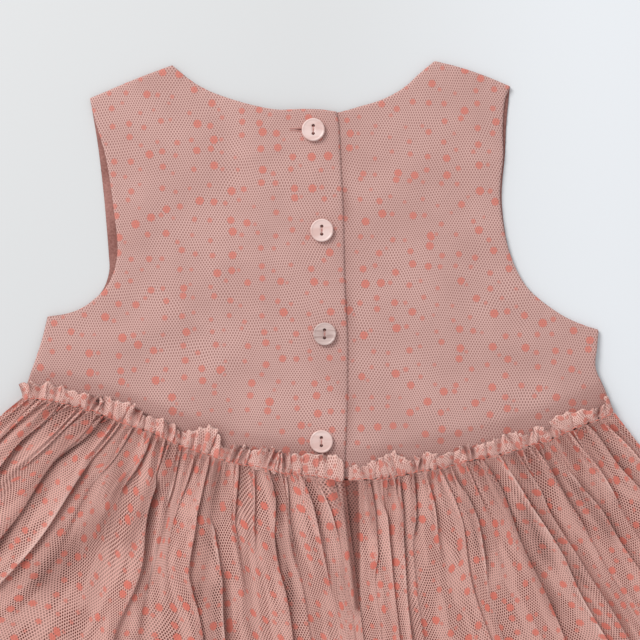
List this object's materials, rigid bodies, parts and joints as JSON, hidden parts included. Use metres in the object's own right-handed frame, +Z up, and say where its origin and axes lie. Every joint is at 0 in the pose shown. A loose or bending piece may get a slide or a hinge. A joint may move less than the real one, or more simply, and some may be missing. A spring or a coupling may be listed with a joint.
{
  "type": "toddler party dress",
  "caption": "Sleeveless toddler party dress laid flat, back up, with a buttoned back placket and a gathered dotted net skirt over a lining.",
  "frame": {"origin": "under the middle of the dress's outline, on the surface that it lies on", "axes": "+X across the dress to the right as seen from above, +Y towards the neck, +Z up out of the buttoned back"},
  "size_m": [0.6552, 0.4674, 0.0104],
  "materials": {
    "bodice_cloth": "fine dotted net mounted on a dusty rose lining, matt with a faint sheen",
    "bodice_lining": "plain woven dusty rose lining, matt",
    "dotted_net": "see-through hexagonal net in dusty pink with coral dots",
    "skirt_lining": "plain woven dusty rose lining, soft sheen",
    "pearl_button": "pale pink pearl",
    "grey_pearl_button": "grey pink pearl with a soft streak",
    "thread": "fine sewing thread"
  },
  "bodies": {
    "root": {"front_bodice": "bodice_lining", "back_bodice_left": "bodice_cloth", "back_bodice_right": "bodice_cloth", "skirt_net_front": "dotted_net", "skirt_net_back_left": "dotted_net", "skirt_net_back_right": "dotted_net", "skirt_lining_front": "skirt_lining", "skirt_lining_back": "skirt_lining", "waist_frill_back_left": "dotted_net", "waist_frill_back_right": "dotted_net", "waist_frill_front": "dotted_net", "button_1": "pearl_button", "button_2": "pearl_button", "button_3": "grey_pearl_button", "button_4": "pearl_button"}
  },
  "joints": []
}
